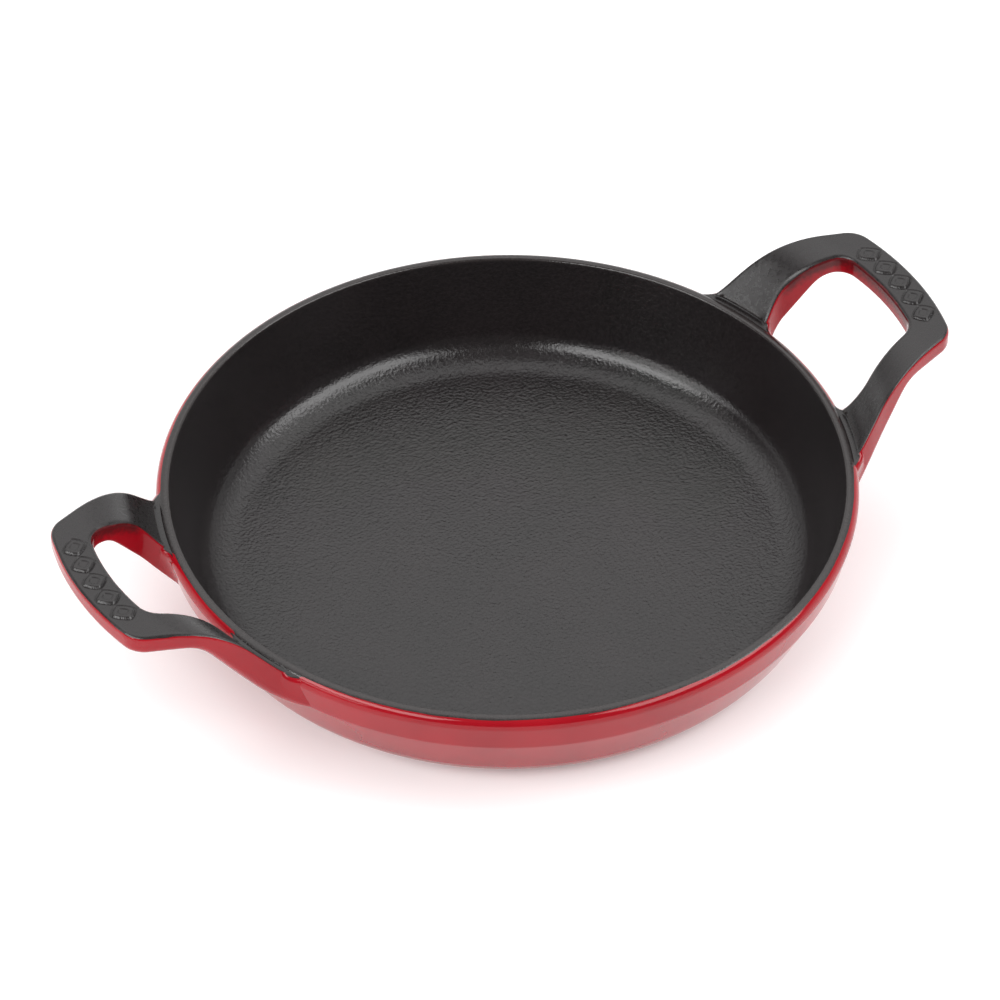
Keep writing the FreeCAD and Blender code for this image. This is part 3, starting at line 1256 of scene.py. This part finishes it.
class LoopSections:
    """The closed cross-sections along one handle, from arm root to arm root."""

    def __init__(self, handle: Handle, inset: float) -> None:
        """Work out the stations, the profiles and the roundings.

        Args:
            handle: The handle.
            inset: How far the sections are drawn in from the outer skin.
        """
        self.handle = handle
        self.inset = inset
        outer, inner, stand_off = handle.stations()
        self.outer = handle.both_arms(outer, -1.0)
        self.inner = handle.both_arms(inner, -1.0)
        self.stand_off = handle.both_arms(stand_off, 1.0)
        ends = (self.outer, self.inner)
        self.angles = [np.arctan2(end[:, 1], end[:, 0]) for end in ends]
        self.radii = [np.hypot(end[:, 0], end[:, 1]) for end in ends]
        self.width = np.linalg.norm(self.outer - self.inner, axis=1)
        heights = handle.heights
        self.crisp = heights.softened(heights.top_path(), handle.top_soft[0])
        self.eased = heights.softened(heights.top_path(), handle.top_soft[1])
        self.below = heights.softened(heights.under_path(), handle.under_soft)
        self.turn_top = handle.top_round - inset
        self.turn_foot = [foot - inset for foot in handle.foot_round]
        off_foot = self.stand_off + handle.foot_gap
        self.spread_side = [handle.fillet(off_foot, reach) for reach in handle.root_fillet]
        self.spread_under = handle.fillet(off_foot, handle.under_fillet)

    def black_edge(self, seed: int) -> np.ndarray:
        """Find where black meets red on one rounding of the top.

        Args:
            seed: Seed of the unevenness of the edge.

        Returns:
            Angle from the upright at each station, in degrees.
        """
        handle = self.handle
        along_arm = np.linspace(0.0, 2.0 * math.pi, len(self.width))
        start, run = handle.near_wall_span
        away = smooth_step((self.stand_off - start) / run)
        ripple = Ripple(seed=seed, depth=handle.black_ripple)
        near_wall = handle.near_wall[0] + handle.near_wall[1] * away
        return near_wall * (handle.black_edge + ripple.at(along_arm))

    def top(self, nominal: np.ndarray, distance: np.ndarray) -> np.ndarray:
        """Give the height of the top, with softer bends towards its two edges.

        Args:
            nominal: Distances from the axis before the lean of the wall.
            distance: Distances from the outer edge of the section.

        Returns:
            Height at each point.
        """
        to_edge = np.minimum(distance, self.width[:, None] - distance)
        middle = smooth_step(to_edge / self.handle.soft_reach)
        return self.eased(nominal) * (1 - middle) + self.crisp(nominal) * middle

    def place(self, distance: np.ndarray, lower: bool, drop: np.ndarray) -> np.ndarray:
        """Place points across the sections.

        Args:
            distance: Distances from the outer edge of the section.
            lower: Whether they are on the underside.
            drop: What is added to the height of the top or underside.

        Returns:
            Points by station, then round the section.
        """
        share = distance / self.width[:, None]
        angle = self.angles[0][:, None] * (1 - share) + self.angles[1][:, None] * share
        nominal = self.radii[0][:, None] * (1 - share) + self.radii[1][:, None] * share
        height = (self.below(nominal) if lower else self.top(nominal, distance)) + drop
        fade = np.clip(1.0 - self.stand_off / self.handle.lean_reach, 0.0, 1.0)[:, None] ** 2
        lean = self.handle.dish.outer_radius(height) - self.handle.plan.wall
        radius = nominal + lean * fade
        return np.stack([radius * np.cos(angle), radius * np.sin(angle), height], axis=2)

    def turned(self, turn: float, start: np.ndarray, end: np.ndarray, steps: int,
               far: bool, lower: bool) -> np.ndarray:
        """Round one long edge off.

        Args:
            turn: Radius of the rounding.
            start: First angle at each station, from the upright.
            end: Last angle at each station.
            steps: Number of points.
            far: Whether it is the edge on the finger hole.
            lower: Whether it is on the underside.

        Returns:
            Points by station, then round the section.
        """
        share = np.linspace(0.0, 1.0, steps)[None, :]
        angle = np.radians(start[:, None] * (1 - share) + end[:, None] * share)
        from_edge = self.inset + turn * (1 - np.sin(angle))
        drop = self.inset + turn * (1 - np.cos(angle))
        spread = self.spread_side[int(far)][:, None]
        if lower:
            from_edge = from_edge - spread
            drop = -drop + self.spread_under[:, None]
        else:
            depth = np.clip(drop / self.handle.top_round, 0.0, 1.0)
            from_edge = from_edge - spread * self.handle.top_fillet_share * depth
        distance = self.width[:, None] - from_edge if far else from_edge
        return self.place(distance, lower, -drop)

    def flat(self, lower: bool, steps: int) -> np.ndarray:
        """Run across the top or the underside between the roundings.

        Args:
            lower: Whether it is the underside.
            steps: Number of points.

        Returns:
            Points by station, then round the section.
        """
        count = len(self.width)
        turn = self.turn_foot if lower else [self.turn_top, self.turn_top]
        spare = self.spread_side if lower else [np.zeros(count), np.zeros(count)]
        share = np.linspace(0.0, 1.0, steps + 2)[None, 1:-1]
        low = (self.inset + turn[0] - spare[0])[:, None]
        high = (self.width - self.inset - turn[1] + spare[1])[:, None]
        distance = high + (low - high) * share if lower else low + (high - low) * share
        drop = (self.inset - self.spread_under if lower else np.full(count, -self.inset))[:, None]
        points = self.place(distance, lower, drop * np.ones_like(distance))
        if not lower:
            points[:, :, 2] += self.handle.motif(points[:, :, 0], points[:, :, 1])
        return points

    def flank(self, upper: np.ndarray, lower: np.ndarray, far: bool, steps: int) -> np.ndarray:
        """Run down a side between two lines of points.

        Args:
            upper: Points above, one for each station.
            lower: Points below.
            far: Whether it is the side on the finger hole.
            steps: Number of points.

        Returns:
            Points by station, then round the section.
        """
        share = np.linspace(0.0, 1.0, steps + 2)[None, 1:-1, None]
        points = upper[:, None, :] * (1 - share) + lower[:, None, :] * share
        hollow = share[:, :, 0] * (1 - share[:, :, 0])
        bulge = self.spread_side[int(far)][:, None] * self.handle.flank_hollow * hollow
        middle = (upper + lower)[:, None, :2] / 2
        centre = ((self.outer + self.inner) / 2)[:, None, :]
        away = middle - centre
        away = away / np.maximum(np.linalg.norm(away, axis=2, keepdims=True), 1e-6)
        points[:, :, :2] -= away * bulge[:, :, None]
        return points

    def points(self) -> tuple[np.ndarray, int]:
        """Go once round every section, the black run first.

        Returns:
            An array of shape (stations, points round a section, 3), and how many of
            the points round a section are black.
        """
        zero = np.zeros(len(self.width))
        square = np.full(len(self.width), 90.0)
        outer, inner = self.black_edge(seed=21), self.black_edge(seed=22)
        black_run = [
            self.turned(self.turn_top, outer, zero, steps=7, far=False, lower=False),
            self.flat(lower=False, steps=44),
            self.turned(self.turn_top, zero, inner, steps=7, far=True, lower=False),
        ]
        inner_turn = self.turned(self.turn_top, inner, square, steps=6, far=True, lower=False)
        inner_turn = inner_turn[:, 1:]
        inner_foot = self.turned(self.turn_foot[1], square, zero, steps=7, far=True, lower=True)
        outer_foot = self.turned(self.turn_foot[0], zero, square, steps=7, far=False, lower=True)
        outer_turn = self.turned(self.turn_top, square, outer, steps=6, far=False, lower=False)
        outer_turn = outer_turn[:, :-1]
        red_run = [
            inner_turn,
            self.flank(inner_turn[:, -1], inner_foot[:, 0], far=True, steps=9),
            inner_foot,
            self.flat(lower=True, steps=14),
            outer_foot,
            self.flank(outer_foot[:, -1], outer_turn[:, 0], far=False, steps=9),
            outer_turn,
        ]
        black_points = np.concatenate(black_run, axis=1)
        return np.concatenate([black_points] + red_run, axis=1), black_points.shape[1]


# --------------------------------------------------------------------- studio
@dataclass(frozen=True)
class Softbox:
    """A soft light: where it is, how wide and high it looks, how bright it is."""

    name: str
    azimuth: float
    elevation: float
    span: Pair
    radiance: float
    distance: float = 1.4


SOFTBOXES = (
    Softbox("softbox_left", azimuth=-102.0, elevation=39.0, span=(48.0, 22.0), radiance=5.6),
    Softbox("softbox_low_left", azimuth=-88.0, elevation=17.0, span=(44.0, 8.0), radiance=4.0),
    Softbox("softbox_right", azimuth=140.0, elevation=44.0, span=(54.0, 26.0), radiance=4.6),
)


@dataclass
class Studio:
    """Pale floor, soft lights and the camera."""

    rim_centre: Vector
    azimuth: float = -28.671
    elevation: float = 42.277
    roll: float = -0.413
    distance: float = 1.889
    lens: float = 237.1
    aim_right: float = -0.00214
    aim_up: float = -0.00650
    sky_low: float = 0.26
    sky_high: float = 1.60
    sky_wall: float = 1.1
    backdrop: float = 0.96
    sky_tilt: Pair = (0.75, 0.6)
    sky_span: Pair = (0.35, 0.78)
    zenith_span: Pair = (0.50, 0.80)
    zenith_gain: Pair = (0.55, 1.1)
    wall_behind: Pair = (-0.15, 0.2)
    wall_span: Pair = (0.15, 0.45)
    floor_half: float = 3.0
    floor_glow: float = 0.18
    sensor: float = 36.0
    clip: float = 20.0

    def directions(self) -> tuple[Vector, Vector, Vector]:
        """Work out the directions of the camera.

        Returns:
            Right, up and backward, as unit vectors.
        """
        across = (degrees_sin(self.azimuth), degrees_cos(self.azimuth))
        rise = (degrees_sin(self.elevation), degrees_cos(self.elevation))
        back = Vector((across[0] * rise[1], -across[1] * rise[1], rise[0]))
        level = Vector((across[1], across[0], 0.0))
        up = back.cross(level)
        tilt = (degrees_sin(self.roll), degrees_cos(self.roll))
        return level * tilt[1] + up * tilt[0], up * tilt[1] - level * tilt[0], back

    def build_camera(self) -> None:
        """Long-lens camera looking down at the dish from one side."""
        right, up, back = self.directions()
        aim = self.rim_centre + right * self.aim_right + up * self.aim_up
        data = bpy.data.cameras.new("studio_camera")
        data.sensor_width = self.sensor
        data.lens = self.lens
        data.clip_end = self.clip
        camera = bpy.data.objects.new("studio_camera", data)
        turn = Matrix((right, up, back)).transposed().to_4x4()
        camera.matrix_world = Matrix.Translation(aim + back * self.distance) @ turn
        bpy.context.scene.collection.objects.link(camera)
        bpy.context.scene.camera = camera

    def build_floor(self) -> None:
        """Plain pale floor that the dish stands on."""
        half = self.floor_half
        corners = np.array([[-half, -half, 0], [half, -half, 0], [half, half, 0], [-half, half, 0]])
        floor = add_mesh("studio_floor", corners / METRES_PER_MM, [(0, 1, 2, 3)])
        sheet = NodeSheet("pale_floor")
        tone = sheet.blend(sheet.noise(3.0), (0.86, 0.86, 0.86), (0.88, 0.88, 0.88))
        sheet.join(tone, sheet.shader.inputs["Base Color"])
        sheet.shader.inputs["Emission Color"].default_value = WHITE
        sheet.shader.inputs["Emission Strength"].default_value = self.floor_glow
        sheet.shader.inputs["Roughness"].default_value = 0.9
        sheet.shader.inputs["Specular IOR Level"].default_value = 0.1
        floor.data.materials.append(sheet.material)

    def build_sky(self) -> None:
        """Soft light from above and behind, and a plain pale backdrop."""
        world = bpy.data.worlds.new("studio_sky")
        world.use_nodes = True
        tree = world.node_tree
        tree.nodes.clear()
        output = tree.nodes.new("ShaderNodeOutputWorld")
        background = tree.nodes.new("ShaderNodeBackground")
        direction = tree.nodes.new("ShaderNodeTexCoord").outputs["Generated"]
        behind = (-degrees_sin(self.azimuth), degrees_cos(self.azimuth))

        def band(slope: tuple[float, float, float], span: Pair,
                 values: Pair) -> bpy.types.NodeSocket:
            """Ease a value across the sky.

            Args:
                slope: Direction along which it changes.
                span: Where along the slope the change starts and ends.
                values: Value at the start and at the end.

            Returns:
                The value.
            """
            along = tree.nodes.new("ShaderNodeVectorMath")
            along.operation = "DOT_PRODUCT"
            along.inputs[1].default_value = slope
            tree.links.new(direction, along.inputs[0])
            value = tree.nodes.new("ShaderNodeMapRange")
            value.interpolation_type = "SMOOTHSTEP"
            value.inputs["From Min"].default_value = span[0]
            value.inputs["From Max"].default_value = span[1]
            value.inputs["To Min"].default_value = values[0]
            value.inputs["To Max"].default_value = values[1]
            tree.links.new(along.outputs["Value"], value.inputs["Value"])
            return value.outputs["Result"]

        def joined(operation: str, first: bpy.types.NodeSocket,
                   second: bpy.types.NodeSocket) -> bpy.types.NodeSocket:
            """Do one step of arithmetic.

            Args:
                operation: Blender's name for the step.
                first: First value.
                second: Second value.

            Returns:
                The result.
            """
            step = tree.nodes.new("ShaderNodeMath")
            step.operation = operation
            tree.links.new(first, step.inputs[0])
            tree.links.new(second, step.inputs[1])
            return step.outputs["Value"]

        up = (0.0, 0.0, 1.0)
        flat, rise = self.sky_tilt
        overhead = joined("MULTIPLY", band((flat * behind[0], flat * behind[1], rise),
                                           self.sky_span, (self.sky_low, self.sky_high)),
                          band(up, self.zenith_span, self.zenith_gain))
        wall = joined("MULTIPLY", band((behind[0], behind[1], 0.0), self.wall_behind, (0.0, 1.0)),
                      band(up, self.wall_span, (self.sky_wall, 0.0)))
        brightness = joined("MAXIMUM", overhead, wall)
        seen = tree.nodes.new("ShaderNodeMix")
        seen.data_type = "FLOAT"
        seen.inputs["B"].default_value = self.backdrop
        paths = tree.nodes.new("ShaderNodeLightPath").outputs["Is Camera Ray"]
        tree.links.new(brightness, seen.inputs["A"])
        tree.links.new(paths, seen.inputs["Factor"])
        tree.links.new(seen.outputs["Result"], background.inputs["Strength"])
        tree.links.new(background.outputs["Background"], output.inputs["Surface"])
        background.inputs["Color"].default_value = WHITE
        bpy.context.scene.world = world

    def build_softbox(self, box: Softbox) -> None:
        """Add a rectangular soft light aimed at the dish.

        Args:
            box: The light.
        """
        width = 2.0 * box.distance * math.tan(math.radians(box.span[0] / 2))
        height = 2.0 * box.distance * math.tan(math.radians(box.span[1] / 2))
        data = bpy.data.lights.new(box.name, "AREA")
        data.shape = "RECTANGLE"
        data.size, data.size_y = width, height
        data.energy = math.pi * box.radiance * width * height
        lamp = bpy.data.objects.new(box.name, data)
        toward = Vector((degrees_sin(box.azimuth) * degrees_cos(box.elevation),
                         degrees_cos(box.azimuth) * degrees_cos(box.elevation),
                         degrees_sin(box.elevation)))
        lamp.location = self.rim_centre + toward * box.distance
        lamp.rotation_euler = toward.to_track_quat("Z", "Y").to_euler()
        lamp.visible_camera = False
        bpy.context.scene.collection.objects.link(lamp)

    def build(self) -> None:
        """Make the floor, the lights and the camera."""
        self.build_floor()
        self.build_sky()
        for box in SOFTBOXES:
            self.build_softbox(box)
        self.build_camera()
        bpy.context.scene.view_settings.view_transform = "Standard"


def main() -> None:
    """Build every piece on the frame and report each one."""
    logging.basicConfig(level=logging.INFO, format="%(message)s")
    red_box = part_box("red_enamel_jacket")
    lining_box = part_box("black_enamel_lining")
    under_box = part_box("underside_enamel")
    shape = DishShape(height=lining_box[1][2] / METRES_PER_MM,
                      base_radius=under_box[1][0] / METRES_PER_MM,
                      widest_radius=red_box[1][0] / METRES_PER_MM)
    black = BlackEnamel().make()
    smooth_black = BlackEnamel(name="black_handle_enamel", pebbles_per_metre=800.0,
                               pebble_depth=0.035, gloss=(0.24, 0.34)).make()
    red = RedEnamel().make()
    iron = CastIron().make()
    underside = UndersideEnamel().make()
    for name in ("cast_iron_base", "cast_iron_side_wall"):
        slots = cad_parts[name].data.materials
        if not slots:
            slots.append(iron)
        for index in range(len(slots)):
            slots[index] = iron
    dish = Dish(shape)
    LOG.info("lining: %d faces", len(dish.build_lining(black).data.polygons))
    LOG.info("jacket: %d faces", len(dish.build_jacket(red).data.polygons))
    LOG.info("underside: %d faces", len(dish.build_underside(underside).data.polygons))
    plan = LoopShape(reach=CAD_BOX[1][0] / METRES_PER_MM, wall=shape.widest_radius)
    for side in Side:
        Handle(side, shape, plan).build(smooth_black, red, iron)
    Studio(Vector((0.0, 0.0, shape.height * METRES_PER_MM))).build()


if __name__ == "__main__":
    main()
